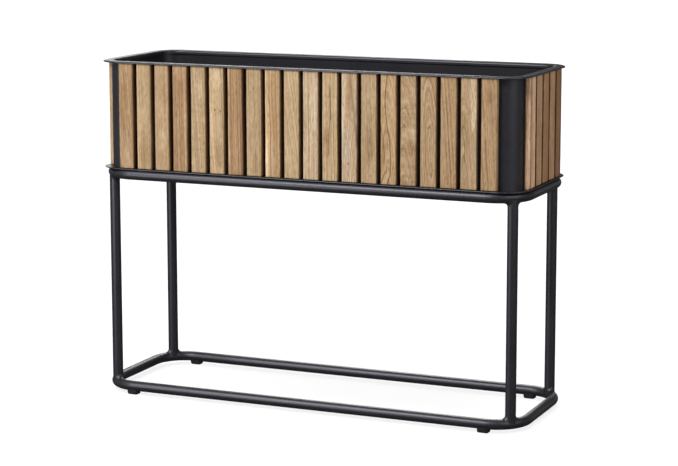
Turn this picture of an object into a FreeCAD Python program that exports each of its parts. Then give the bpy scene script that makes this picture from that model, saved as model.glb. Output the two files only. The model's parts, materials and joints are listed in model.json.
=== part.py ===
import FreeCAD, Part
import math
import os

# Planter box on a tubular stand. Millimetres, +Z up, origin on the floor under
# the middle of the object, front towards -Y.

V = FreeCAD.Vector
X, Y, Z = V(1, 0, 0), V(0, 1, 0), V(0, 0, 1)

# ---- driving dimensions ----------------------------------------------------
# stand
TUBE_D = 22.4          # ring tube, outside
TUBE_WALL = 2.0
RING_HALF_X = 490.0    # ring centre line, half length
RING_HALF_Y = 156.0    # ring centre line, half depth
RING_BEND = 72.0       # corner bend radius at the tube's centre line
LEG_D = 23.0           # a touch stouter than the rings
LEG_LAP = 3.0          # the legs' coped ends stop this far from the rings' centre planes
FOOT_DROP = 6.8        # clear height of the bottom ring above the floor
RING_RISE = 481.5      # between the two rings' centre lines
FOOT_X = 417.0         # feet stand under the long rails at +-FOOT_X
FOOT_LONG, FOOT_DEEP, FOOT_TALL = 28.0, 22.0, 12.5
FOOT_ROUND = 3.6       # rounding of the glide's lower edge
FOOT_STEM_D, FOOT_STEM_HOLE_D = 8.0, 8.2
# box
PLATE_X, PLATE_Y = 1000.0, 330.0   # outline of the base plate and the top rim
PLATE_T = 2.0
RIM_T = 3.2
RIM_ROLL, RIM_LOW = 2.8, 0.3   # the rim's outer edge is rolled over from above
RIM_IN = 3.5           # the rim's inner edge hangs this far inside the tub wall
RIM_IN_ROLL = 4.5      # and is rolled down
RIM_LEG, RIM_LEG_T = 9.0, 2.4  # depth of the inner edge below the top, and its thickness
LIP_TOP, LIP_LOW = 1.7, 0.25   # the base plate's outer edge is rolled over on its upper side
SPACER_H = 0.8         # pad between the ring's crest and the base plate
BOX_TOP = 751.0
WALL_T = 2.5
WALL_BEND = 40.0       # outside corner radius of the tub wall
SLAT_W, SLAT_T = 34.6, 14.0
SLAT_PITCH = 44.6
SLAT_EASE = 1.6        # rounding of the slats' outer edges
SLAT_GAP = 0.6         # air above and below each slat
FLANGE_OVER = 4.5      # rim and plate stand proud of the slats' faces
LONG_SLATS, END_SLATS = 20, 5
SCREW_IN = 46.0        # screw axis from the slat's ends
SCREW_D, SCREW_HOLE_D = 4.0, 4.4
SCREW_HEAD_D, SCREW_HEAD_H = 8.0, 2.4
SCREW_DRIVE, SCREW_DRIVE_H = 3.0, 1.3   # hexagon socket in the head, across flats and depth
SCREW_BITE = 10.0      # depth in the wood
STUD_D, STUD_HOLE_D, STUD_L = 6.0, 7.0, 12.0
STUD_X = 300.0
SPACER_X = 380.0
DRAIN_D = 12.0
DRAIN_X, DRAIN_Y = 330.0, 70.0

# ---- derived sizes ---------------------------------------------------------
TUBE_R = TUBE_D / 2
Z_LOW = FOOT_DROP + TUBE_R             # bottom ring centre line
Z_HIGH = Z_LOW + RING_RISE             # top ring centre line
Z_PLATE = Z_HIGH + TUBE_R + SPACER_H   # underside of the base plate
Z_FLOOR = Z_PLATE + PLATE_T            # inside floor of the tub
Z_RIM = BOX_TOP - RIM_T                # underside of the top rim
WALL_HALF_X = PLATE_X / 2 - FLANGE_OVER - SLAT_T
WALL_HALF_Y = PLATE_Y / 2 - FLANGE_OVER - SLAT_T
PLATE_BEND = WALL_BEND + FLANGE_OVER + SLAT_T
SLAT_Z0, SLAT_Z1 = Z_FLOOR + SLAT_GAP, Z_RIM - SLAT_GAP
SCREW_Z = (SLAT_Z0 + SCREW_IN, SLAT_Z1 - SCREW_IN)
LEG_X = RING_HALF_X - RING_BEND + RING_BEND * math.cos(math.pi / 4)
LEG_Y = RING_HALF_Y - RING_BEND + RING_BEND * math.sin(math.pi / 4)

os.makedirs("parts", exist_ok=True)


def save(name, shape):
    """One node: checked, then written under its name."""
    if not shape.isValid():
        raise RuntimeError(name + ": invalid shape")
    shape.exportStep("parts/" + name + ".step")
    print("%-22s solids %3d  volume %10.1f mm3" % (name, len(shape.Solids), shape.Volume))


def rounded_face(hx, hy, r, z):
    """Flat rounded rectangle, half sizes hx and hy, corner radius r, at height z."""
    c = math.sqrt(0.5) * r
    p = [V(hx, -hy + r, z), V(hx, hy - r, z), V(hx - r, hy, z), V(-hx + r, hy, z),
         V(-hx, hy - r, z), V(-hx, -hy + r, z), V(-hx + r, -hy, z), V(hx - r, -hy, z)]
    m = [V(hx - r + c, hy - r + c, z), V(-hx + r - c, hy - r + c, z),
         V(-hx + r - c, -hy + r - c, z), V(hx - r + c, -hy + r - c, z)]
    edges = []
    for i in range(4):
        a, b, n = p[2 * i], p[2 * i + 1], p[(2 * i + 2) % 8]
        edges.append(Part.makeLine(a, b))
        edges.append(Part.Arc(b, m[i], n).toShape())
    return Part.Face(Part.Wire(edges))


def rounded_prism(hx, hy, r, z0, z1):
    return rounded_face(hx, hy, r, z0).extrude(V(0, 0, z1 - z0))


def section(centre, normal, radius, bore, turn):
    """Round section, with a bore if it is a tube. turn sets where the seam of a bar made from it
    runs, in degrees from the crest."""
    face = Part.Face(Part.Wire(Part.makeCircle(radius, centre, normal)))
    if bore:
        face = face.cut(Part.Face(Part.Wire(Part.makeCircle(bore, centre, normal)))).Faces[0]
    face.rotate(centre, normal, turn)
    return face


def ring_bars(z, bore):
    """The four straight runs and four bends of a ring at height z, seam on the inner side."""
    hx, hy, r, t, a = RING_HALF_X, RING_HALF_Y, RING_BEND, 115, TUBE_R
    runs = [
        section(V(-hx + r, -hy, z), X, a, bore, -t).extrude(V(2 * (hx - r), 0, 0)),
        section(V(hx, -hy + r, z), Y, a, bore, -t).extrude(V(0, 2 * (hy - r), 0)),
        section(V(-hx + r, hy, z), X, a, bore, t).extrude(V(2 * (hx - r), 0, 0)),
        section(V(-hx, -hy + r, z), Y, a, bore, t).extrude(V(0, 2 * (hy - r), 0)),
    ]
    bends = [
        section(V(hx - r, -hy, z), X, a, bore, -t).revolve(V(hx - r, -hy + r, z), Z, 90),
        section(V(hx, hy - r, z), Y, a, bore, -t).revolve(V(hx - r, hy - r, z), Z, 90),
        section(V(-hx + r, hy, z), X, a, bore, t).revolve(V(-hx + r, hy - r, z), Z, 90),
        section(V(-hx, -hy + r, z), Y, a, bore, t).revolve(V(-hx + r, -hy + r, z), Z, 90),
    ]
    return runs, bends


def joined(runs, bends):
    """Runs and bends as one closed ring."""
    ring = runs[0].multiFuse(runs[1:] + bends)
    if len(ring.Solids) != 1:
        raise RuntimeError("ring did not close: %d solids" % len(ring.Solids))
    return ring.Solids[0]


def four(x, y):
    return [V(sx * x, sy * y, 0) for sy in (-1, 1) for sx in (-1, 1)]


# ---- stand -----------------------------------------------------------------
low_outer, high_outer = joined(*ring_bars(Z_LOW, 0)), joined(*ring_bars(Z_HIGH, 0))
BORE = TUBE_R - TUBE_WALL

# bottom ring: stem holes for the four feet, on the underside of its long runs
runs, bends = ring_bars(Z_LOW, BORE)
for p in four(FOOT_X, RING_HALF_Y):
    hole = Part.makeCylinder(FOOT_STEM_HOLE_D / 2, TUBE_R, p + V(0, 0, Z_LOW - TUBE_R - 1), Z)
    runs = [q.cut(hole) for q in runs]
    bends = [q.cut(hole) for q in bends]
save("stand_bottom_ring", joined(runs, bends))

# top ring: locating holes for the box, on the crest of its long runs
runs, bends = ring_bars(Z_HIGH, BORE)
for p in four(STUD_X, RING_HALF_Y):
    hole = Part.makeCylinder(STUD_HOLE_D / 2, TUBE_R, p + V(0, 0, Z_HIGH + 1), Z)
    runs = [q.cut(hole) for q in runs]
save("stand_top_ring", joined(runs, bends))

# legs: tube ends coped to sit on the ring's round wall
names = ("front_left", "front_right", "rear_left", "rear_right")
for name, p in zip(names, four(LEG_X, LEG_Y)):
    base, height = p + V(0, 0, Z_LOW + LEG_LAP), RING_RISE - 2 * LEG_LAP
    tube = Part.makeCylinder(LEG_D / 2, height, base, Z).cut(
        Part.makeCylinder(LEG_D / 2 - TUBE_WALL, height + 2, base - V(0, 0, 1), Z))
    leg = tube.cut(low_outer).cut(high_outer)
    solid = max(leg.Solids, key=lambda s: s.Volume)
    save("leg_" + name, solid)


# feet: saddle glide with a stem that is pushed into the rail
def foot(p):
    bottom = rounded_face(FOOT_LONG / 2 - 1.2, FOOT_DEEP / 2 - 1.2, 5.3, 0)
    top = rounded_face(FOOT_LONG / 2, FOOT_DEEP / 2, 6.5, FOOT_TALL)
    body = Part.makeLoft([bottom.OuterWire, top.OuterWire], True)
    low = [e for e in body.Edges if abs(e.BoundBox.ZMax) < 1e-6 and abs(e.BoundBox.ZMin) < 1e-6]
    body = body.makeFillet(FOOT_ROUND, low)
    body.translate(p)
    stem = Part.makeCylinder(FOOT_STEM_D / 2, FOOT_DROP + 6, p + V(0, 0, 3), Z)
    return body.cut(low_outer).fuse(stem).removeSplitter().Solids[0]


for name, p in zip(names, four(FOOT_X, RING_HALF_Y)):
    save("foot_" + name, foot(p))


# spacers: saddle pads on the top ring's crest that carry the box
def spacer(p):
    pad = rounded_prism(17, 4.5, 3, Z_PLATE - 7, Z_PLATE)
    pad.translate(p)
    rail = Part.makeCylinder(TUBE_R, 120, p + V(-60, 0, Z_HIGH), X)
    return pad.cut(rail).Solids[0]


save("box_spacers", Part.makeCompound([spacer(p) for p in four(SPACER_X, RING_HALF_Y)]))

# ---- box -------------------------------------------------------------------
# base plate: floor of the tub and bottom flange, with drain holes
plate = rounded_prism(PLATE_X / 2, PLATE_Y / 2, PLATE_BEND, Z_PLATE, Z_FLOOR)
for z, r in ((Z_FLOOR, LIP_TOP), (Z_PLATE, LIP_LOW)):
    plate = plate.makeFillet(r, [e for e in plate.Edges if e.BoundBox.ZLength < 1e-6 and abs(e.BoundBox.ZMin - z) < 1e-6])
drains = [Part.makeCylinder(DRAIN_D / 2, 3 * PLATE_T, p + V(0, 0, Z_PLATE - PLATE_T), Z)
          for p in four(DRAIN_X, DRAIN_Y)]
save("base_plate", plate.cut(Part.makeCompound(drains)))

# locating studs welded under the base plate
studs = []
for p in four(STUD_X, RING_HALF_Y):
    stud = Part.makeCylinder(STUD_D / 2, STUD_L, p + V(0, 0, Z_PLATE - STUD_L), Z)
    end = [e for e in stud.Edges if abs(e.BoundBox.ZMax - (Z_PLATE - STUD_L)) < 1e-6]
    studs.append(stud.makeChamfer(1.2, end))
save("locating_studs", Part.makeCompound(studs))

# top rim: flat flange round the mouth, its outer edge rolled over and its inner edge rolled down into
# a short leg that hangs just clear of the wall
in_x, in_y, in_r = WALL_HALF_X - WALL_T, WALL_HALF_Y - WALL_T, WALL_BEND - WALL_T
lip = [v - RIM_IN for v in (in_x, in_y, in_r)]
leg_out = [v + RIM_LEG_T for v in lip]
rim = rounded_prism(PLATE_X / 2, PLATE_Y / 2, PLATE_BEND, Z_RIM, BOX_TOP).fuse(
    rounded_prism(*leg_out, BOX_TOP - RIM_LEG, BOX_TOP)).cut(
    rounded_prism(*lip, BOX_TOP - RIM_LEG - 1, BOX_TOP + 1)).removeSplitter()


def along_outline(e, hx, hy, r):
    """Is a level edge part of the rounded rectangle of these half sizes and corner radius?"""
    if e.BoundBox.ZLength > 1e-6:
        return False
    if isinstance(e.Curve, Part.Circle):
        return abs(e.Curve.Radius - r) < 1e-4
    m = e.valueAt((e.FirstParameter + e.LastParameter) / 2)
    return abs(abs(m.x) - hx) < 1e-4 or abs(abs(m.y) - hy) < 1e-4


outer = (PLATE_X / 2, PLATE_Y / 2, PLATE_BEND)
for outline, z, r in ((lip, BOX_TOP, RIM_IN_ROLL), (outer, BOX_TOP, RIM_ROLL), (outer, Z_RIM, RIM_LOW),
                      (lip, BOX_TOP - RIM_LEG, 0.6), (leg_out, BOX_TOP - RIM_LEG, 0.6)):
    rim = rim.makeFillet(r, [e for e in rim.Edges if along_outline(e, *outline) and abs(e.BoundBox.ZMin - z) < 1e-4])
if len(rim.Solids) != 1:
    raise RuntimeError("rim is not one solid")
save("top_rim", rim.Solids[0])

# tub wall: bent sheet with clearance holes for the slat screws
wall = rounded_prism(WALL_HALF_X, WALL_HALF_Y, WALL_BEND, Z_FLOOR, Z_RIM).cut(
    rounded_prism(in_x, in_y, in_r, Z_FLOOR - 1, Z_RIM + 1))


def slat_centres(count):
    return [(i - (count - 1) / 2) * SLAT_PITCH for i in range(count)]


# each side: outward direction, direction along the side, distance of the wall
SIDES = {
    "front": (V(0, -1, 0), V(1, 0, 0), WALL_HALF_Y, LONG_SLATS),
    "rear": (V(0, 1, 0), V(1, 0, 0), WALL_HALF_Y, LONG_SLATS),
    "left": (V(-1, 0, 0), V(0, -1, 0), WALL_HALF_X, END_SLATS),
    "right": (V(1, 0, 0), V(0, 1, 0), WALL_HALF_X, END_SLATS),
}


def screw(tip_from, out):
    """Pan-head wood screw: tip_from lies on the wall's inner face, out points into the wood."""
    h, k, rh, rs = SCREW_HEAD_H, WALL_T + SCREW_BITE, SCREW_HEAD_D / 2, SCREW_D / 2
    pts = [V(0, 0, -h), V(rh * 0.62, 0, -h), V(rh * 0.93, 0, -h * 0.62), V(rh, 0, -h * 0.2), V(rh, 0, 0),
           V(rs, 0, 0), V(rs, 0, k - 3), V(0, 0, k)]
    lines = [Part.makeLine(pts[i], pts[i + 1]) for i in range(len(pts) - 1)]
    lines.append(Part.makeLine(pts[-1], pts[0]))
    s = Part.Face(Part.Wire(lines)).revolve(V(0, 0, 0), Z, 360)
    r = SCREW_DRIVE / math.sqrt(3)
    six = [V(r * math.cos(math.radians(60 * i)), r * math.sin(math.radians(60 * i)), -h - 1) for i in range(7)]
    s = s.cut(Part.Face(Part.makePolygon(six)).extrude(V(0, 0, SCREW_DRIVE_H + 1))).Solids[0]
    s.Placement = FreeCAD.Placement(tip_from, FreeCAD.Rotation(Z, out))
    return s


def slat(out, along, dist, centre):
    """Plain upright board with eased edges on its outer face, back flat on the wall."""
    board = Part.makeBox(SLAT_W, SLAT_T, SLAT_Z1 - SLAT_Z0, V(-SLAT_W / 2, 0, SLAT_Z0))
    face = [e for e in board.Edges if abs(e.BoundBox.YMin - SLAT_T) < 1e-6]
    board = board.makeFillet(SLAT_EASE, face)
    board.Placement = FreeCAD.Placement(out * dist + along * centre, FreeCAD.Rotation(Y, out))
    return board


holes, screws = [], []
boards = {}
for side, (out, along, dist, count) in SIDES.items():
    for i, c in enumerate(slat_centres(count)):
        boards[side, i + 1] = slat(out, along, dist, c)
        for z in SCREW_Z:
            foot_of = out * (dist - WALL_T) + along * c + V(0, 0, z)
            screws.append(screw(foot_of, out))
            holes.append(Part.makeCylinder(SCREW_HOLE_D / 2, WALL_T + 4, foot_of - out * 2, out))

save("tub_wall", wall.cut(Part.makeCompound(holes)))
save("slat_screws", Part.makeCompound(screws))

for i in range(1, LONG_SLATS + 1):
    save("front_slat_%02d" % i, boards["front", i])
for i in range(1, LONG_SLATS + 1, 2):
    save("rear_slats_%02d_%02d" % (i, i + 1), Part.makeCompound([boards["rear", i], boards["rear", i + 1]]))
for side in ("left", "right"):
    for i in range(1, END_SLATS + 1):
        save("%s_slat_%d" % (side, i), boards[side, i])
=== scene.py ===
import json
import math
import random

import bpy
import numpy as np
from mathutils import Matrix, Vector

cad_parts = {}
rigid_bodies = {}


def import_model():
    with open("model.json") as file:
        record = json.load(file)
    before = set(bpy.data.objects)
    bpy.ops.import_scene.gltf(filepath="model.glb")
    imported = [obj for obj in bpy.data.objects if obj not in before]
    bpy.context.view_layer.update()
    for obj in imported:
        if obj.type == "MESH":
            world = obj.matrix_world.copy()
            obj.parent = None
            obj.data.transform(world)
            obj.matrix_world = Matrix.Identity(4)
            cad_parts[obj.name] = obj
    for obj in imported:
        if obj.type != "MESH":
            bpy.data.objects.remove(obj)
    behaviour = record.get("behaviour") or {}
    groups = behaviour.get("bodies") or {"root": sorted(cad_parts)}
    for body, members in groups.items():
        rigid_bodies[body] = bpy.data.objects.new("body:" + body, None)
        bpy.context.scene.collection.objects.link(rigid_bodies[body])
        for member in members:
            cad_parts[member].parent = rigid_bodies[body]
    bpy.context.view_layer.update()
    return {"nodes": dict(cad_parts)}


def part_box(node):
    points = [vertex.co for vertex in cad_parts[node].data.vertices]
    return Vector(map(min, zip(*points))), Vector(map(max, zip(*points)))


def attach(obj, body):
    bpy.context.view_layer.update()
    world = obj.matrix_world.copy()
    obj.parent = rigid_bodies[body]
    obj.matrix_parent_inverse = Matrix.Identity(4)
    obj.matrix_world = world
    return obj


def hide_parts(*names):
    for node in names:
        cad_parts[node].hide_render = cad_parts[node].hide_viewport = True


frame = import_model()
nodes = frame["nodes"]
scene = bpy.context.scene

# sizes of the stand and the slats, in metres
TUBE_R, LEG_R = 0.0112, 0.0115
RING_X, RING_Y, BEND = 0.490, 0.156, 0.072
RING_Z = {"low": 0.018, "high": 0.4995}
PITCH = 0.0446
SLAT_MID_Z, SLAT_LEN = 0.63065, 0.2331


# ---------------------------------------------------------------------------
# node helpers
class Tree:
    def __init__(self, name):
        self.mat = bpy.data.materials.new(name)
        self.mat.use_nodes = True
        self.t = self.mat.node_tree
        self.t.nodes.clear()
        self.out = self.t.nodes.new("ShaderNodeOutputMaterial")
        self.bsdf = self.t.nodes.new("ShaderNodeBsdfPrincipled")
        self.t.links.new(self.bsdf.outputs[0], self.out.inputs[0])
        self.coord = self.t.nodes.new("ShaderNodeTexCoord")

    def put(self, socket, value):
        if isinstance(value, bpy.types.NodeSocket):
            self.t.links.new(value, socket)
        else:
            socket.default_value = value

    def math(self, op, a, b=None, c=None, clamp=False):
        n = self.t.nodes.new("ShaderNodeMath")
        n.operation, n.use_clamp = op, clamp
        for i, v in enumerate((a, b, c)):
            if v is not None:
                self.put(n.inputs[i], v)
        return n.outputs[0]

    def combine(self, x, y, z):
        n = self.t.nodes.new("ShaderNodeCombineXYZ")
        for i, v in enumerate((x, y, z)):
            self.put(n.inputs[i], v)
        return n.outputs[0]

    def split(self, vec):
        n = self.t.nodes.new("ShaderNodeSeparateXYZ")
        self.put(n.inputs[0], vec)
        return n.outputs

    def scaled(self, vec, k):
        n = self.t.nodes.new("ShaderNodeVectorMath")
        n.operation = "MULTIPLY"
        self.put(n.inputs[0], vec)
        n.inputs[1].default_value = k if hasattr(k, "__len__") else (k, k, k)
        return n.outputs[0]

    def noise(self, vec=None, scale=1.0, detail=2.0, rough=0.5, w=None, distort=0.0, colour=False):
        n = self.t.nodes.new("ShaderNodeTexNoise")
        if w is not None and vec is None:
            n.noise_dimensions = "1D"
            self.put(n.inputs["W"], w)
        else:
            n.noise_dimensions = "3D"
            self.put(n.inputs["Vector"], vec)
        n.inputs["Scale"].default_value = scale
        n.inputs["Detail"].default_value = detail
        n.inputs["Roughness"].default_value = rough
        n.inputs["Distortion"].default_value = distort
        return n.outputs[1] if colour else n.outputs[0]

    def ramp(self, fac, stops, interp="LINEAR"):
        n = self.t.nodes.new("ShaderNodeValToRGB")
        self.put(n.inputs[0], fac)
        e = n.color_ramp.elements
        n.color_ramp.interpolation = interp
        while len(e) < len(stops):
            e.new(0.5)
        for el, (p, c) in zip(e, stops):
            el.position = p
            el.color = (c, c, c, 1) if not hasattr(c, "__len__") else (*c, 1)
        return n.outputs[0]

    def mix(self, fac, a, b, blend="MIX"):
        n = self.t.nodes.new("ShaderNodeMix")
        n.data_type, n.blend_type = "RGBA", blend
        self.put(n.inputs[0], fac)
        for i, v in ((6, a), (7, b)):
            if isinstance(v, bpy.types.NodeSocket):
                self.t.links.new(v, n.inputs[i])
            else:
                n.inputs[i].default_value = (*v, 1) if hasattr(v, "__len__") else (v, v, v, 1)
        return n.outputs[2]

    def bump(self, height, strength, distance, normal=None):
        n = self.t.nodes.new("ShaderNodeBump")
        n.inputs["Strength"].default_value = strength
        n.inputs["Distance"].default_value = distance
        self.put(n.inputs["Height"], height)
        if normal is not None:
            self.put(n.inputs["Normal"], normal)
        return n.outputs[0]


# ---------------------------------------------------------------------------
# teak: growth layers cut by the board's face, fibres, pores and odd dark streaks
TONES = {
    # the middle colour of a board, linear
    "straw": (0.233, 0.164, 0.090),
    "cream": (0.247, 0.184, 0.115),
    "tan": (0.203, 0.136, 0.073),
    "olive": (0.207, 0.144, 0.078),
    "honey": (0.221, 0.146, 0.075),
    "brown": (0.186, 0.119, 0.061),
    "rust": (0.174, 0.107, 0.054),
    "rose": (0.285, 0.186, 0.116),
    "clay": (0.232, 0.136, 0.068),
    "russet": (0.190, 0.102, 0.046),
    "dusky": (0.145, 0.074, 0.034),
}
PALE = (1.20, 1.26, 1.38)     # washed-out wood, as a share of the board's colour
DUSK = (0.84, 0.77, 0.69)     # wood stained a little darker
GREY = (0.92, 0.96, 1.05)


def teak(name, across, centre, seed, tone, away=(0.045, 0.012), lean=(0.0, 0.0), wave=0.003, layers=330.0,
         streak=0.0, red=0.25, contrast=1.0, edges=(1.0, 1.0), flame=0.0, flecks=1.0, patches=(), veins=(),
         bands=(), knots=(), gaps=(True, True), deep_gap_shade=0.0):
    """across is the axis that runs over the board's width. centre is the board's place on that axis,
    or None to find it from the board's number along the row. away is how far off the tree's heart
    lies, across and behind the face, and lean how fast it moves along the board. edges are the
    shades at the two sides of the board's width, flame the strength of the cross figure. patches are
    soft spots (across, up, half width, half height, colour share), in shares of the board's width and
    length. veins are dark lines (strength, half width, row of (up, across) shares), bands stripes that run
    the whole length (across, half width, colour share), and knots small dark spots.
    gaps says which of the board's two sides faces a neighbour, deep_gap_shade whether those sides get the darker
    painted shade."""
    T = Tree(name)
    rnd = random.Random(seed)
    middle = TONES[tone]
    light = tuple(c * f for c, f in zip(middle, (1.24, 1.27, 1.32)))
    dark = tuple(c * f for c, f in zip(middle, (0.68, 0.60, 0.53)))
    deep = tuple(c * f for c, f in zip(dark, (0.46, 0.37, 0.30)))
    s = T.split(T.coord.outputs["Object"])
    a, d, z = (s[0], s[1], s[2]) if across == "x" else (s[1], s[0], s[2])
    v = T.math("SUBTRACT", z, SLAT_MID_Z)
    number = None
    if centre is None:
        number = T.math("FLOOR", T.math("DIVIDE", a, PITCH))
        u = T.math("SUBTRACT", a, T.math("MULTIPLY", T.math("ADD", number, 0.5), PITCH))
        zs = T.math("MULTIPLY_ADD", number, 0.613, v)
    else:
        u = T.math("SUBTRACT", a, centre)
        zs = T.math("ADD", v, rnd.uniform(3, 60))
    base = 0.1605 if across == "x" else 0.4955
    depth = T.math("SUBTRACT", base, T.math("ABSOLUTE", d))
    place = T.combine(u, depth, zs)

    # slow wander of the grain along the board, with a finer wriggle on top
    wander = T.split(T.noise(T.scaled(place, (16, 16, 5.5)), detail=3.0, rough=0.42, colour=True))
    uw = T.math("MULTIPLY_ADD", T.math("SUBTRACT", wander[0], 0.5), 2 * wave, u)
    dw = T.math("MULTIPLY_ADD", T.math("SUBTRACT", wander[1], 0.5), 2 * wave, depth)
    p = T.math("ADD", uw, T.math("MULTIPLY_ADD", v, lean[0], away[0]))
    q = T.math("ADD", dw, T.math("MULTIPLY_ADD", v, lean[1], away[1]))
    heart = T.math("SQRT", T.math("ADD", T.math("MULTIPLY", p, p), T.math("MULTIPLY", q, q)))
    if number is not None:
        heart = T.math("MULTIPLY_ADD", number, 0.057, heart)

    # growth layers of uneven width, with thin dark lines between some of them
    layer = T.noise(w=T.math("ADD", heart, rnd.uniform(0, 20)), scale=layers, detail=3.0, rough=0.6)
    line = T.noise(w=T.math("ADD", heart, rnd.uniform(30, 50)), scale=layers * 1.5, detail=1.0, rough=0.5)
    # flecks, fibres and pores, long and thin
    fleck = T.noise(T.scaled(place, (400, 400, 62)), detail=2.5, rough=0.65)
    fibre = T.noise(T.scaled(place, (900, 900, 34)), detail=3.0, rough=0.6)
    pore = T.noise(T.scaled(place, (640, 640, 82)), detail=1.0, rough=0.5)
    broad = T.noise(T.scaled(place, (60, 60, 5.0)), detail=2.0, rough=0.5)
    cloud = T.noise(T.scaled(place, (30, 30, 12)), detail=2.0, rough=0.5)

    k = 0.20 / contrast
    col = T.ramp(layer, [(0.5 - 1.2 * k, dark), (0.5 - 0.1 * k, middle), (0.5 + 0.9 * k, light)])
    warm = tuple(c * f for c, f in zip(middle, (0.88, 0.72, 0.60)))
    col = T.mix(T.math("MULTIPLY", T.ramp(broad, [(0.46, 0.0), (0.62, 1.0)]), red), col, warm)
    pale = tuple(c * f for c, f in zip(light, (1.10, 1.13, 1.20)))
    col = T.mix(T.math("MULTIPLY", T.ramp(cloud, [(0.48, 0.0), (0.70, 1.0)]), 0.45), col, pale)
    lines = T.ramp(line, [(0.27, 1.0), (0.37, 0.0)])
    col = T.mix(T.math("MULTIPLY", lines, min(0.48 * contrast, 0.9)), col, dark)
    span = T.math("MULTIPLY_ADD", uw, 1 / 0.0346, 0.5)
    rise = T.math("MULTIPLY_ADD", v, 1 / SLAT_LEN, 0.5)
    ragged = T.math("SUBTRACT", T.noise(T.scaled(place, (170, 170, 22)), detail=3.0, rough=0.6), 0.5)
    for pu, pv, hu, hv, share in patches:
        du = T.math("MULTIPLY", T.math("SUBTRACT", span, pu), 1 / hu)
        dv = T.math("MULTIPLY", T.math("SUBTRACT", rise, pv), 1 / hv)
        r2 = T.math("ADD", T.math("MULTIPLY", du, du), T.math("MULTIPLY", dv, dv))
        spot = T.ramp(T.math("MULTIPLY_ADD", ragged, 1.9, r2), [(0.10, 1.0), (1.0, 0.0)], "EASE")
        col = T.mix(spot, col, T.mix(1.0, col, share, "MULTIPLY"))
    wavy = T.math("MULTIPLY_ADD", ragged, 0.06, span)
    for across_at, half, share in bands:
        off = T.math("MULTIPLY", T.math("ABSOLUTE", T.math("SUBTRACT", wavy, across_at)), 1 / half)
        on = T.math("MULTIPLY", T.ramp(off, [(0.40, 1.0), (1.0, 0.0)], "EASE"), T.ramp(cloud, [(0.30, 0.45), (0.55, 1.0)]))
        col = T.mix(on, col, T.mix(1.0, col, share, "MULTIPLY"))
    for strength, half, vein in veins:
        path = T.ramp(rise, sorted(vein), "B_SPLINE")
        off = T.math("MULTIPLY", T.math("ABSOLUTE", T.math("SUBTRACT", wavy, path)), 1 / half)
        lo, hi = min(p for p, _ in vein), max(p for p, _ in vein)
        on = T.ramp(rise, [(max(lo - 0.04, 0.0), 0.0), (max(lo, 0.001), 1.0), (min(hi, 0.999), 1.0), (min(hi + 0.04, 1.0), 0.0)])
        hair = T.math("MULTIPLY", T.ramp(off, [(0.35, 1.0), (1.0, 0.0)], "EASE"), on)
        col = T.mix(T.math("MULTIPLY", hair, strength), col, deep)
    for ku, kv in knots:
        du = T.math("MULTIPLY", T.math("SUBTRACT", span, ku), 0.0346)
        dv = T.math("MULTIPLY", T.math("SUBTRACT", rise, kv), SLAT_LEN * 0.7)
        r = T.math("SQRT", T.math("ADD", T.math("MULTIPLY", du, du), T.math("MULTIPLY", dv, dv)))
        col = T.mix(T.ramp(T.math("MULTIPLY", r, 100.0), [(0.09, 0.85), (0.22, 0.0)]), col, deep)
    if streak:
        vein = T.noise(T.scaled(place, (190, 190, 17)), detail=3.0, rough=0.62, distort=0.5)
        vein = T.math("MULTIPLY", T.ramp(vein, [(0.56, 0.0), (0.66, 1.0)]), T.ramp(broad, [(0.40, 0.15), (0.58, 1.0)]))
        col = T.mix(T.math("MULTIPLY", vein, streak), col, deep)
    if flame:
        figure = T.noise(T.scaled(place, (26, 26, 95)), detail=2.0, rough=0.55, distort=0.6)
        col = T.mix(flame, col, T.ramp(figure, [(0.30, 0.62), (0.72, 1.30)]), "MULTIPLY")
    col = T.mix(flecks, col, T.ramp(fleck, [(0.28, 0.68), (0.51, 1.0), (0.75, 1.20)]), "MULTIPLY")
    col = T.mix(1.0, col, T.ramp(fibre, [(0.25, 0.87), (0.75, 1.10)]), "MULTIPLY")
    pores = T.ramp(pore, [(0.27, 1.0), (0.36, 0.0)])
    col = T.mix(T.math("MULTIPLY", pores, 0.60), col, deep)
    if edges != (1.0, 1.0):
        col = T.mix(1.0, col, T.ramp(span, [(0.12, edges[0]), (0.5, 1.0), (0.88, edges[1])], "EASE"), "MULTIPLY")
    # painted shade: the sides between two boards are darkened with depth into the gap, where shade falls
    # the end boards get a stronger and darker painted shade in their gaps
    stops = ((0.04, 0.15, 0.45), (0.30, 0.22, 0.15)) if deep_gap_shade else ((0.15, 0.40, 0.90), (0.86, 0.72, 0.58))
    last = (0.20, 0.13, 0.09) if deep_gap_shade else (0.62, 0.46, 0.33)
    painted_gap_shade = T.ramp(T.math("MULTIPLY", depth, 70.0), [(stops[0][0], 1.0), (stops[0][1], stops[1]), (stops[0][2], last)], "EASE")
    # painted shade: on a side that meets the tub wall instead of a neighbour, a dark seam is painted next to the wall
    if gaps != (True, True):
        side = T.math("GREATER_THAN", u, 0.0) if gaps[1] else T.math("LESS_THAN", u, 0.0)
        corner = T.ramp(T.math("MULTIPLY", depth, 70.0), [(0.64, 1.0), (0.86, (0.06, 0.05, 0.04))])
        painted_gap_shade = T.mix(side, corner, painted_gap_shade)
    col = T.mix(1.0, col, painted_gap_shade, "MULTIPLY")
    if number is not None:
        # neighbouring boards of a row differ in colour
        pick = T.noise(w=T.math("MULTIPLY", number, 7.77), scale=1.0, detail=0.0)
        shade = T.ramp(pick, [(0.25, (0.80, 0.76, 0.73)), (0.5, (0.98, 0.98, 0.98)), (0.75, (1.14, 1.17, 1.20))])
        col = T.mix(1.0, col, shade, "MULTIPLY")
    T.put(T.bsdf.inputs["Base Color"], col)

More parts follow.
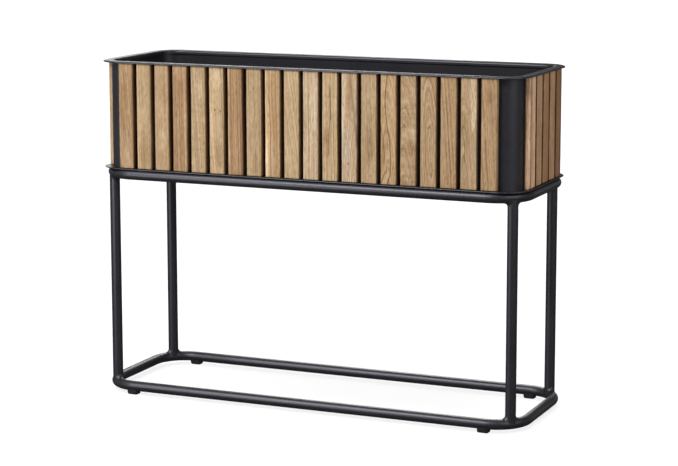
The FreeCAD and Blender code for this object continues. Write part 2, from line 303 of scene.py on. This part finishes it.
    rough = T.math("MULTIPLY_ADD", fibre, 0.16, T.math("MULTIPLY", lines, 0.06))
    T.put(T.bsdf.inputs["Roughness"], T.math("ADD", rough, 0.56))
    T.bsdf.inputs["Specular IOR Level"].default_value = 0.18
    relief = T.math("SUBTRACT", T.math("MULTIPLY_ADD", fibre, 0.55, T.math("MULTIPLY", layer, 0.35)),
                    T.math("MULTIPLY_ADD", pores, 0.55, T.math("MULTIPLY", lines, 0.18)))
    T.put(T.bsdf.inputs["Normal"], T.bump(relief, 0.45, 0.0005))
    return T.mat


# ---------------------------------------------------------------------------
# black powder coat: fine pebbled skin, faint unevenness in gloss and shade
def powder_coat(name, dark=(0.0041, 0.0040, 0.0050), pale=(0.0060, 0.0058, 0.0073), rough=0.43, grain=1.0):
    T = Tree(name)
    obj = T.coord.outputs["Object"]
    pebble = T.noise(T.scaled(obj, 1150), detail=2.0, rough=0.55)
    peel = T.noise(T.scaled(obj, 230), detail=1.0, rough=0.4)
    drift = T.noise(T.scaled(obj, 14), detail=3.0, rough=0.55)
    speck = T.ramp(T.noise(T.scaled(obj, 430), detail=1.0), [(0.52, 0.0), (0.66, 1.0)])
    col = T.mix(T.ramp(drift, [(0.32, 0.0), (0.68, 1.0)]), dark, pale)
    col = T.mix(T.math("MULTIPLY", speck, 0.55), col, tuple(2.6 * c for c in pale))
    T.put(T.bsdf.inputs["Base Color"], col)
    r = T.math("MULTIPLY_ADD", drift, 0.10, T.math("MULTIPLY_ADD", pebble, 0.16, rough - 0.13))
    T.put(T.bsdf.inputs["Roughness"], r)
    T.bsdf.inputs["IOR"].default_value = 1.47
    T.bsdf.inputs["Specular Tint"].default_value = (0.87, 0.88, 1.0, 1.0)
    relief = T.math("MULTIPLY_ADD", peel, 0.6, pebble)
    T.put(T.bsdf.inputs["Normal"], T.bump(relief, 0.22 * grain, 0.00012))
    return T.mat


def moulded_plastic(name):
    T = Tree(name)
    obj = T.coord.outputs["Object"]
    skin = T.noise(T.scaled(obj, 1700), detail=2.0, rough=0.6)
    scuff = T.noise(T.scaled(obj, (120, 120, 420)), detail=3.0, rough=0.65)
    wear = T.ramp(scuff, [(0.50, 0.0), (0.72, 1.0)])
    low = T.ramp(T.split(obj)[2], [(0.0, 1.0), (0.004, 0.0)])
    worn = T.math("MULTIPLY", wear, T.math("MULTIPLY_ADD", low, 0.6, 0.25))
    T.put(T.bsdf.inputs["Base Color"], T.mix(worn, (0.0040, 0.0040, 0.0043), (0.012, 0.012, 0.0125)))
    T.put(T.bsdf.inputs["Roughness"], T.math("MULTIPLY_ADD", skin, 0.14, T.math("MULTIPLY_ADD", worn, 0.15, 0.50)))
    T.bsdf.inputs["Specular IOR Level"].default_value = 0.30
    T.put(T.bsdf.inputs["Normal"], T.bump(skin, 0.25, 0.00012))
    return T.mat


def stainless(name):
    T = Tree(name)
    obj = T.coord.outputs["Object"]
    turn = T.noise(T.scaled(obj, 520), detail=3.0, rough=0.6)
    stain = T.noise(T.scaled(obj, 60), detail=2.0)
    T.put(T.bsdf.inputs["Base Color"], T.mix(T.ramp(stain, [(0.40, 0.0), (0.70, 1.0)]), (0.40, 0.39, 0.38), (0.29, 0.285, 0.275)))
    T.bsdf.inputs["Metallic"].default_value = 1.0
    T.put(T.bsdf.inputs["Roughness"], T.math("MULTIPLY_ADD", turn, 0.22, 0.22))
    T.put(T.bsdf.inputs["Normal"], T.bump(turn, 0.15, 0.00010))
    return T.mat


def wear(obj, material):
    obj.data.materials.clear()
    obj.data.materials.append(material)


coat = powder_coat("powder_coat_black")
for n in ("tub_wall", "base_plate", "top_rim", "stand_top_ring", "stand_bottom_ring",
          "leg_front_left", "leg_front_right", "leg_rear_left", "leg_rear_right"):
    wear(nodes[n], coat)
plastic = moulded_plastic("glide_plastic")
for n in ("foot_front_left", "foot_front_right", "foot_rear_left", "foot_rear_right", "box_spacers"):
    wear(nodes[n], plastic)
steel = stainless("stainless_screws")
for n in ("slat_screws", "locating_studs"):
    wear(nodes[n], steel)

# ---------------------------------------------------------------------------
# boards: sanded by hand, so that each edge's rounding, line and face differ a little
def board_mesh(seed, width, thick, z0, z1, out, along, centre, face):
    """Vertices and faces of one closed board. face is the distance of its outer face from the middle,
    out and along are unit vectors, and the board stays inside the plain one of the same size."""
    rnd = random.Random(seed)

    def drift(amount, least=0.0):
        waves = [(rnd.uniform(0.5, 1.0) / (1 + k), rnd.uniform(0.6, 1.5) * (1 + k), rnd.uniform(0, 6.28)) for k in range(4)]
        total = sum(w[0] for w in waves)

        def at(t):
            f = sum(g * math.sin(6.2832 * n * t + ph) for g, n, ph in waves) / total
            return least + amount * (0.5 + 0.5 * max(-1.0, min(1.0, 1.4 * f)))
        return at

    round_l, round_r = drift(0.0007, 0.0009), drift(0.0013, 0.0010)
    line_l, line_r, flat = drift(0.0003), drift(0.0005), drift(0.00025)
    ends = [0.0, 0.00018, 0.0005, 0.0010, 0.0017, 0.0030]
    soft = 0.0019
    inner = np.linspace(z0 + 0.008, z1 - 0.008, 37)
    zs = [z0 + e for e in ends] + list(inner) + [z1 - e for e in reversed(ends)]
    verts, rows = [], []
    for z in zs:
        t = (z - z0) / (z1 - z0)
        e = min(z - z0, z1 - z)
        tuck = soft - math.sqrt(max(soft * soft - (soft - min(e, soft)) ** 2, 0.0))
        tuck = min(tuck, 0.0016)
        f0 = flat(t) + tuck
        l, r = -width / 2 + line_l(t), width / 2 - line_r(t)
        rl, rr = round_l(t), round_r(t)
        prof = [(l, thick), (l, 0.72 * thick), (l, 0.42 * thick)]
        for k in range(6):
            g = math.pi / 2 * k / 5
            prof.append((l + rl - rl * math.cos(g), f0 + rl - rl * math.sin(g)))
        for k in range(1, 7):
            prof.append((l + rl + (r - rr - l - rl) * k / 7, f0))
        for k in range(6):
            g = math.pi / 2 * (1 - k / 5)
            prof.append((r - rr + rr * math.cos(g), f0 + rr - rr * math.sin(g)))
        prof += [(r, 0.42 * thick), (r, 0.72 * thick), (r, thick)]
        row = []
        for u, w in prof:
            q = along * (centre + u) + out * (face - w)
            row.append(len(verts))
            verts.append((q.x, q.y, z))
        rows.append(row)
    n = len(rows[0])
    flip = along.cross(out).z > 0
    faces = []
    for lo, hi in zip(rows, rows[1:]):
        for k in range(n):
            m = (k + 1) % n
            faces.append((lo[k], lo[m], hi[m], hi[k]))
    faces.append(tuple(reversed(rows[0])))
    faces.append(tuple(rows[-1]))
    if flip:
        faces = [tuple(reversed(f)) for f in faces]
    return verts, faces


def boards(name, node, parts, material):
    verts, faces = [], []
    for v, f in parts:
        k = len(verts)
        verts += v
        faces += [tuple(i + k for i in q) for q in f]
    mesh = bpy.data.meshes.new(name)
    mesh.from_pydata(verts, [], faces)
    mesh.update()
    for q in mesh.polygons:
        q.use_smooth = True
    mesh.set_sharp_from_angle(angle=math.radians(40))
    o = bpy.data.objects.new(name, mesh)
    scene.collection.objects.link(o)
    wear(o, material)
    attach(o, "box")
    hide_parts(node)
    return o


SLAT_W, SLAT_T = 0.0346, 0.014
OUT = {"front": Vector((0, -1, 0)), "rear": Vector((0, 1, 0)), "left": Vector((-1, 0, 0)), "right": Vector((1, 0, 0))}
ALONG = {"front": Vector((1, 0, 0)), "rear": Vector((1, 0, 0)), "left": Vector((0, 1, 0)), "right": Vector((0, 1, 0))}
FACE = {"front": 0.1605, "rear": 0.1605, "left": 0.4955, "right": 0.4955}
low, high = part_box("front_slat_01")
SLAT_Z = (low[2], high[2])

# boards of the front, left to right: colour of the board, and how the log was cut
STRAIGHT = dict(away=(0.060, 0.010), lean=(0.02, 0.0))
RIFT = dict(away=(0.032, 0.030), lean=(0.05, 0.02))
CATHEDRAL = dict(away=(0.003, 0.019), lean=(0.03, 0.11), layers=420.0, wave=0.006)
LINE = (0.70, 0.62, 0.54)
PAINTED_EDGE_HIGHLIGHT = (1.20, 1.22, 1.26)     # painted highlight: a paler strip along a board's edge, where the rounded edge catches the light
FRONT = [
    ("brown", dict(RIFT, red=0.45, wave=0.005, edges=(0.97, 0.95), gaps=(False, True), bands=[(0.95, 0.08, LINE)],
                 patches=[(0.35, 0.62, 0.30, 0.40, DUSK), (0.45, 0.08, 0.22, 0.16, PALE)])),
    ("olive", dict(STRAIGHT, red=0.10, edges=(1.06, 0.93), bands=[(0.02, 0.055, PAINTED_EDGE_HIGHLIGHT), (0.95, 0.07, LINE)], patches=[(0.5, 0.18, 0.5, 0.2, DUSK)])),
    ("tan", dict(STRAIGHT, red=0.08, bands=[(0.96, 0.06, LINE)], patches=[(0.5, 0.30, 0.30, 0.12, PALE), (0.7, 0.7, 0.2, 0.2, DUSK)])),
    ("rust", dict(STRAIGHT, red=0.40, contrast=1.2, bands=[(0.88, 0.07, (1.22, 1.26, 1.32)), (0.62, 0.06, DUSK)], patches=[(0.5, 0.95, 0.6, 0.10, PALE)])),
    ("olive", dict(RIFT, red=0.12, wave=0.004, contrast=1.2, flame=0.30, patches=[(0.62, 0.78, 0.2, 0.12, PALE)])),
    ("straw", dict(RIFT, red=0.30, wave=0.006, edges=(1.06, 0.90), patches=[(0.15, 0.75, 0.14, 0.16, DUSK), (0.7, 0.18, 0.3, 0.16, DUSK), (0.5, 0.9, 0.4, 0.12, PALE)],
                   knots=[(0.40, 0.60), (0.78, 0.59)])),
    ("rust", dict(STRAIGHT, red=0.45, contrast=1.3,
                  bands=[(0.05, 0.10, (1.45, 1.50, 1.56)), (0.19, 0.050, LINE), (0.48, 0.12, (1.14, 1.14, 1.12)), (0.74, 0.07, DUSK), (0.93, 0.10, LINE)])),
    ("olive", dict(STRAIGHT, red=0.05, contrast=1.3, knots=[(0.48, 0.82)], patches=[(0.6, 0.12, 0.25, 0.15, DUSK)])),
    ("honey", dict(STRAIGHT, red=0.60, wave=0.004, contrast=1.2, edges=(1.10, 0.92), bands=[(0.02, 0.055, PAINTED_EDGE_HIGHLIGHT), (0.74, 0.07, DUSK)],
                   patches=[(0.10, 0.35, 0.24, 0.50, PALE), (0.12, 0.20, 0.16, 0.3, PALE)],
                   veins=[(0.42, 0.045, [(0.0, 0.34), (0.35, 0.38), (0.65, 0.30), (0.85, 0.24), (1.0, 0.20)]),
                          (0.30, 0.035, [(0.20, 0.62), (0.50, 0.58), (0.75, 0.50), (0.95, 0.42)]),
                          (0.22, 0.030, [(0.0, 0.86), (0.5, 0.80), (1.0, 0.70)])])),
    ("straw", dict(RIFT, lean=(0.12, 0.02), red=0.15, contrast=1.0,
                   veins=[(0.36, 0.050, [(0.62, 0.93), (0.80, 0.72), (1.0, 0.55)]), (0.18, 0.035, [(0.50, 0.97), (0.75, 0.60), (0.95, 0.36)])])),
    ("cream", dict(STRAIGHT, red=0.25, contrast=1.5, bands=[(0.36, 0.06, DUSK), (0.62, 0.07, (1.08, 1.10, 1.14))], patches=[(0.72, 0.72, 0.3, 0.3, PALE)])),
    ("straw", dict(STRAIGHT, streak=0.70, red=0.15, contrast=1.2, bands=[(0.02, 0.055, PAINTED_EDGE_HIGHLIGHT)], patches=[(0.52, 0.70, 0.16, 0.22, DUSK), (0.36, 0.36, 0.34, 0.18, DUSK)],
                   veins=[(0.66, 0.070, [(0.58, 0.60), (0.70, 0.52), (0.86, 0.50)]), (0.48, 0.060, [(0.26, 0.44), (0.42, 0.40), (0.58, 0.58)])])),
    ("cream", dict(RIFT, lean=(-0.14, 0.02), red=0.60, knots=[(0.45, 0.17)], bands=[(0.02, 0.055, PAINTED_EDGE_HIGHLIGHT)], patches=[(0.30, 0.30, 0.3, 0.3, GREY), (0.45, 0.78, 0.3, 0.3, DUSK)],
                   veins=[(0.42, 0.090, [(0.34, 0.98), (0.50, 0.92), (0.66, 0.78), (0.85, 0.64), (1.0, 0.55)]), (0.45, 0.035, [(0.38, 0.98), (0.52, 0.94), (0.66, 0.82)])])),
    ("olive", dict(STRAIGHT, red=0.16, contrast=1.2, bands=[(0.02, 0.055, PAINTED_EDGE_HIGHLIGHT), (0.93, 0.06, PAINTED_EDGE_HIGHLIGHT)], patches=[(0.6, 0.36, 0.25, 0.22, GREY), (0.5, 0.36, 0.4, 0.25, DUSK)])),
    ("honey", dict(CATHEDRAL, red=0.15, contrast=1.1, patches=[(0.72, 0.75, 0.22, 0.35, (1.10, 1.13, 1.18)), (0.15, 0.28, 0.25, 0.22, DUSK)],
                   veins=[(0.80, 0.050, [(0.0, 0.42), (0.10, 0.66), (0.24, 0.66), (0.40, 0.60), (0.55, 0.40), (0.72, 0.30), (0.85, 0.34), (1.0, 0.44)]),
                          (0.60, 0.050, [(0.22, 0.26), (0.32, 0.22), (0.44, 0.12), (0.52, 0.03)]),
                          (0.72, 0.050, [(0.02, 0.04), (0.10, 0.28), (0.14, 0.44)]),
                          (0.30, 0.040, [(0.30, 0.44), (0.44, 0.40), (0.58, 0.22), (0.70, 0.12)])])),
    ("tan", dict(CATHEDRAL, away=(0.012, 0.030), contrast=1.2, flame=0.45, patches=[(0.5, 0.48, 0.6, 0.06, PALE), (0.7, 0.34, 0.35, 0.10, DUSK), (0.4, 0.85, 0.4, 0.12, (1.08, 1.08, 1.08))])),
    ("tan", dict(CATHEDRAL, away=(-0.003, 0.006), lean=(0.05, 0.13), contrast=1.8, bands=[(0.02, 0.055, PAINTED_EDGE_HIGHLIGHT)],
                 veins=[(0.26, 0.040, [(0.10, 0.80), (0.30, 0.66), (0.42, 0.62), (0.55, 0.76)]), (0.24, 0.040, [(0.05, 0.30), (0.25, 0.44), (0.45, 0.36), (0.66, 0.20)]),
                        (0.24, 0.035, [(0.62, 0.88), (0.78, 0.62), (0.92, 0.24)]), (0.20, 0.035, [(0.74, 0.94), (0.86, 0.70), (0.98, 0.36)])])),
    ("brown", dict(RIFT, red=0.25, streak=0.20, contrast=1.2, edges=(1.05, 1.05))),
    ("tan", dict(CATHEDRAL, away=(0.012, 0.016), contrast=1.3, edges=(0.98, 1.0), bands=[(0.98, 0.07, (1.10, 1.16, 1.26))],
                 patches=[(0.80, 0.82, 0.34, 0.36, (1.36, 1.48, 1.74)), (0.86, 0.62, 0.24, 0.14, (1.12, 1.17, 1.28)), (0.95, 0.3, 0.2, 0.3, GREY)],
                 veins=[(0.50, 0.045, [(0.26, 0.26), (0.36, 0.32), (0.46, 0.20), (0.54, 0.10)]), (0.30, 0.040, [(0.12, 0.40), (0.32, 0.50), (0.48, 0.34), (0.62, 0.22)])])),
    ("brown", dict(RIFT, red=0.30, contrast=1.2, gaps=(True, False), patches=[(0.5, 0.85, 0.3, 0.1, DUSK)])),
]
for i, (tone, cut) in enumerate(FRONT):
    n = "front_slat_%02d" % (i + 1)
    c = (i - 9.5) * PITCH
    shape = board_mesh(700 + i, SLAT_W, SLAT_T, *SLAT_Z, OUT["front"], ALONG["front"], c, FACE["front"])
    boards("board_front_%02d" % (i + 1), n, [shape], teak("teak_" + n, "x", c, 100 + i, tone, **cut))
ENDS = {
    "right": [("rose", dict(RIFT, red=0.30, streak=0.40, contrast=1.3, bands=[(-0.01, 0.08, (1.12, 1.12, 1.12)), (0.13, 0.11, LINE), (0.66, 0.42, (1.22, 1.22, 1.22))],
                           veins=[(0.62, 0.085, [(0.0, 0.13), (0.3, 0.11), (0.6, 0.12), (1.0, 0.10)])])),
              ("clay", dict(STRAIGHT, red=0.30, streak=0.45, contrast=1.4)), ("russet", dict(RIFT, red=0.30, streak=0.35, contrast=1.3)),
              ("clay", dict(STRAIGHT, red=0.55, streak=0.40, contrast=1.4)), ("dusky", dict(RIFT, red=0.30, streak=0.45, edges=(1.0, 0.72)))],
    "left": [("dusky", dict(RIFT, red=0.2, streak=0.4, bands=[(0.0, 0.12, LINE)])), ("straw", dict(STRAIGHT, red=0.1)), ("brown", dict(CATHEDRAL, wave=0.005)),
             ("honey", dict(STRAIGHT, red=0.3)), ("tan", dict(STRAIGHT, red=0.15))],
}
for side, row in ENDS.items():
    for i, (tone, cut) in enumerate(row):
        n = "%s_slat_%d" % (side, i + 1)
        low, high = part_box(n)
        c = (low[1] + high[1]) / 2
        # the end boards get the stronger painted gap shade
        cut = dict(cut, gaps=(c > -0.08, c < 0.08), deep_gap_shade=1.0)
        shape = board_mesh(800 + 10 * i + len(side), SLAT_W, SLAT_T, *SLAT_Z, OUT[side], ALONG[side], c, FACE[side])
        boards("board_%s_%d" % (side, i + 1), n, [shape], teak("teak_" + n, "y", c, 300 + 17 * i + len(side), tone, **cut))
rear = [teak("teak_rear_a", "x", None, 501, "tan", **dict(RIFT, red=0.25)),
        teak("teak_rear_b", "x", None, 502, "honey", **dict(CATHEDRAL, wave=0.005, red=0.2)),
        teak("teak_rear_c", "x", None, 503, "straw", **dict(STRAIGHT, red=0.25, streak=0.2))]
for k, i in enumerate(range(1, 21, 2)):
    pair = [board_mesh(900 + j, SLAT_W, SLAT_T, *SLAT_Z, OUT["rear"], ALONG["rear"], (j - 10.5) * PITCH, FACE["rear"]) for j in (i, i + 1)]
    boards("boards_rear_%02d_%02d" % (i, i + 1), "rear_slats_%02d_%02d" % (i, i + 1), pair, rear[(k * 2) % 3])


# ---------------------------------------------------------------------------
# welds: concave fillets where each leg meets a ring
def weld(name, sx, sy, level, radius=0.0095, around=96, rows=22):
    """A closed collar. Its outer side rolls a ball of the given radius along the leg and the ring's bend;
    its inner side lies in the walls of the two tubes."""
    up = 1.0 if level == "low" else -1.0
    c = np.array([sx * (RING_X - BEND), sy * (RING_Y - BEND)])
    heart = np.array([c[0] + sx * BEND * math.sqrt(0.5), c[1] + sy * BEND * math.sqrt(0.5), RING_Z[level]])

    def fields(p):
        q = p[..., :2] - heart[:2]
        dl = np.linalg.norm(q, axis=-1)
        nl = np.concatenate([q / np.maximum(dl, 1e-9)[..., None], np.zeros_like(dl)[..., None]], -1)
        e = p[..., :2] - c
        rho = np.linalg.norm(e, axis=-1)
        off = np.stack([rho - BEND, p[..., 2] - heart[2]], -1)
        dr = np.linalg.norm(off, axis=-1)
        nr = np.concatenate([e / rho[..., None] * (off[..., :1] / np.maximum(dr, 1e-9)[..., None]),
                             off[..., 1:] / np.maximum(dr, 1e-9)[..., None]], -1)
        return dl - LEG_R, dr - TUBE_R, (nl * nr).sum(-1)

    def rounded(p):
        a, b, k = fields(p)
        u, v = radius - a, radius - b
        k = np.clip(k, -0.999, 0.999)
        s2 = 1 - k * k
        inside = (u - k * v > 0) & (v - k * u > 0) & (u > 0) & (v > 0)
        ball = radius - np.sqrt(np.maximum(u * u + v * v - 2 * u * v * k, 0) / s2)
        return np.where(inside, np.minimum(ball, np.minimum(a, b)), np.minimum(a, b))

    def plain(p):
        a, b, _ = fields(p)
        return np.minimum(a, b)

    def reach(f, d):
        lo, hi = np.full(d.shape[:-1], 0.002), np.full(d.shape[:-1], 0.080)
        for _ in range(44):
            m = (lo + hi) / 2
            out = f(heart + d * m[..., None]) > 0
            hi, lo = np.where(out, m, hi), np.where(out, lo, m)
        return (lo + hi) / 2

    def ray(phi, th):
        phi, th = np.broadcast_arrays(phi, th)
        return np.stack([np.cos(th) * np.cos(phi), np.cos(th) * np.sin(phi), up * np.sin(th)], -1)

    phi = np.linspace(0, 2 * math.pi, around, endpoint=False)
    th = np.radians(np.linspace(6, 70, 321))
    g = ray(phi[:, None], th[None, :])
    bare = reach(plain, g)
    gain = reach(rounded, g) - bare
    on_leg, on_ring, _ = fields(heart + g * bare[..., None])
    seam = np.argmin(np.abs(on_leg - on_ring), 1)
    first, last = np.zeros(around), np.zeros(around)
    for i in range(around):
        hit = np.nonzero(gain[i] > 0.00004)[0]
        lo_i, hi_i = (hit[0], hit[-1]) if len(hit) else (seam[i], seam[i])
        first[i], last[i] = th[max(lo_i - 6, 0)], th[min(hi_i + 6, len(th) - 1)]
    for _ in range(3):
        first = (np.roll(first, 1) + first * 2 + np.roll(first, -1)) / 4
        last = (np.roll(last, 1) + last * 2 + np.roll(last, -1)) / 4
    t = np.linspace(0, 1, rows)
    th2 = first[:, None] + (last - first)[:, None] * t[None, :]
    g2 = ray(phi[:, None], th2)
    s0, s1 = reach(plain, g2), reach(rounded, g2)
    d = np.maximum(s1 - s0, 0)
    s = s0 + d - 0.00025 * np.exp(-(d / 0.00012) ** 2)
    outer = heart + g2 * s[..., None]
    inner = heart + g2[:, ::4] * (s0[:, ::4] * 0.88)[..., None]
    loop = np.concatenate([outer, inner[:, ::-1]], 1)
    m = loop.shape[1]
    verts = loop.reshape(-1, 3)
    faces = []
    for i in range(around):
        j = (i + 1) % around
        for k in range(m):
            n2 = (k + 1) % m
            quad = (i * m + k, j * m + k, j * m + n2, i * m + n2)
            faces.append(quad if up > 0 else quad[::-1])
    mesh = bpy.data.meshes.new(name)
    mesh.from_pydata([tuple(v) for v in verts], [], faces)
    mesh.update()
    for f in mesh.polygons:
        f.use_smooth = True
    o = bpy.data.objects.new(name, mesh)
    scene.collection.objects.link(o)
    wear(o, coat)
    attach(o, "stand")
    return o


for corner, sx, sy in (("front_left", -1, -1), ("front_right", 1, -1), ("rear_left", -1, 1), ("rear_right", 1, 1)):
    for level in ("low", "high"):
        weld("weld_%s_%s" % (corner, level), sx, sy, level)

# ---------------------------------------------------------------------------
# stage: pale floor, soft light
bpy.ops.mesh.primitive_plane_add(size=120, location=(0, 0, 0))
floor = bpy.context.object
floor.name = "floor"
F = Tree("pale_floor")
mottle = F.noise(F.scaled(F.coord.outputs["Object"], 1.6), detail=2.0)
F.put(F.bsdf.inputs["Base Color"], F.mix(mottle, (0.90, 0.90, 0.90), (0.93, 0.93, 0.93)))
F.bsdf.inputs["Roughness"].default_value = 0.9
F.bsdf.inputs["Specular IOR Level"].default_value = 0.1
wear(floor, F.mat)
floor.visible_glossy = False

world = bpy.data.worlds.new("studio")
scene.world = world
world.use_nodes = True
wt = world.node_tree
sky = wt.nodes["Background"]
sky.inputs[1].default_value = 1.0
way = wt.nodes.new("ShaderNodeTexCoord")
part = wt.nodes.new("ShaderNodeSeparateXYZ")
fade = wt.nodes.new("ShaderNodeValToRGB")
wt.links.new(way.outputs["Generated"], part.inputs[0])
half = wt.nodes.new("ShaderNodeMath")
half.operation = "MULTIPLY_ADD"
half.inputs[1].default_value, half.inputs[2].default_value = 0.5, 0.5
wt.links.new(part.outputs[2], half.inputs[0])
wt.links.new(half.outputs[0], fade.inputs[0])
wt.links.new(fade.outputs[0], sky.inputs[0])
stops = fade.color_ramp.elements
while len(stops) < 4:
    stops.new(0.5)
# grey below, white around the horizon, dim overhead; the height runs from -1 to 1
for stop, (height, grey) in zip(stops, ((-0.032, 0.10), (-0.014, 1.0), (0.050, 1.0), (0.078, 0.15))):
    stop.position, stop.color = (height + 1) / 2, (grey, grey, grey * 1.01, 1)


def towards(azimuth, elevation):
    az, el = math.radians(azimuth), math.radians(elevation)
    return Vector((math.sin(az) * math.cos(el), -math.cos(az) * math.cos(el), math.sin(el)))


def lamp(name, kind, azimuth, elevation, power, distance=5.0, aim=(0, 0, 0.45)):
    data = bpy.data.lights.new(name, kind)
    data.energy = power
    o = bpy.data.objects.new(name, data)
    o.location = Vector(aim) + towards(azimuth, elevation) * distance
    o.rotation_euler = (-towards(azimuth, elevation)).to_track_quat("-Z", "Y").to_euler()
    o.visible_camera = False
    scene.collection.objects.link(o)
    return o


# the softboxes are flagged off the floor, which only the overhead wash and the white surroundings light
flagged = bpy.data.collections.new("flagged_off")
flagged.objects.link(floor)
flagged.collection_objects[0].light_linking.link_state = "EXCLUDE"


def softbox(name, azimuth, elevation, power, distance, wide, tall, aim=(0, 0, 0.45), tint=(1.0, 0.99, 0.975)):
    o = lamp(name, "AREA", azimuth, elevation, power, distance, aim)
    o.data.shape, o.data.size, o.data.size_y, o.data.color = "RECTANGLE", wide, tall, tint
    o.light_linking.receiver_collection = flagged
    return o


wash = lamp("overhead_wash", "SUN", -31, 66, 0.7)
wash.data.angle, wash.data.color = math.radians(80), (1.0, 0.995, 0.985)
sweep = lamp("floor_wash", "SUN", 0, 80, 3.0)
sweep.data.angle, sweep.data.use_shadow = math.radians(60), False
only_floor = bpy.data.collections.new("only_floor")
only_floor.objects.link(floor)
sweep.light_linking.receiver_collection = only_floor
softbox("key", -22, 39, 310.0, 5.0, 1.32, 1.18)
softbox("strip", -30, 0, 20.0, 2.0, 0.60, 0.70, aim=(0, 0, 0.49))
softbox("fill", 68, 24, 54.0, 3.2, 2.0, 1.8)


def flag(light, name, starts):
    """Keeps a light off the floor and off the pieces whose names start so."""
    shaded = bpy.data.collections.new(name)
    for o in [floor] + [o for o in scene.objects if o.name.startswith(starts)]:
        shaded.objects.link(o)
    for entry in shaded.collection_objects:
        entry.light_linking.link_state = "EXCLUDE"
    light.light_linking.receiver_collection = shaded


# the back light only grazes the box, and the rear one misses the two flanges
flag(softbox("back", 211, 6, 29.0, 3.6, 2.2, 0.7, aim=(0, 0, 0.72)), "flagged_low", ("stand_", "leg_", "foot_", "weld_"))
flag(softbox("rear", 196, 34, 105.0, 3.8, 2.0, 1.6), "flagged_rims", ("top_rim", "base_plate"))

# ---------------------------------------------------------------------------
# camera at the photograph's angle
AZ, EL, ROLL = (math.radians(x) for x in (23.2006, 8.8655, -0.0529))
TARGET, DIST, FOCAL_PX = Vector((0.01962, 0.0, 0.46908)), 4.66561, 2111.43
back = Vector((math.sin(AZ) * math.cos(EL), -math.cos(AZ) * math.cos(EL), math.sin(EL)))
right = (-back).cross(Vector((0, 0, 1))).normalized()
up = right.cross(-back)
r2 = right * math.cos(ROLL) + up * math.sin(ROLL)
u2 = up * math.cos(ROLL) - right * math.sin(ROLL)
cam_data = bpy.data.cameras.new("camera")
cam_data.sensor_fit, cam_data.sensor_width = "HORIZONTAL", 36.0
cam_data.lens = FOCAL_PX * 36.0 / 678
cam_data.shift_y = (190.0 - 233.0) / 678
cam_data.clip_start, cam_data.clip_end = 0.1, 300
cam = bpy.data.objects.new("camera", cam_data)
scene.collection.objects.link(cam)
m = Matrix((r2, u2, back)).transposed().to_4x4()
m.translation = TARGET + back * DIST
cam.matrix_world = m
scene.camera = cam
scene.view_settings.view_transform = "Standard"
scene.view_settings.look = "None"
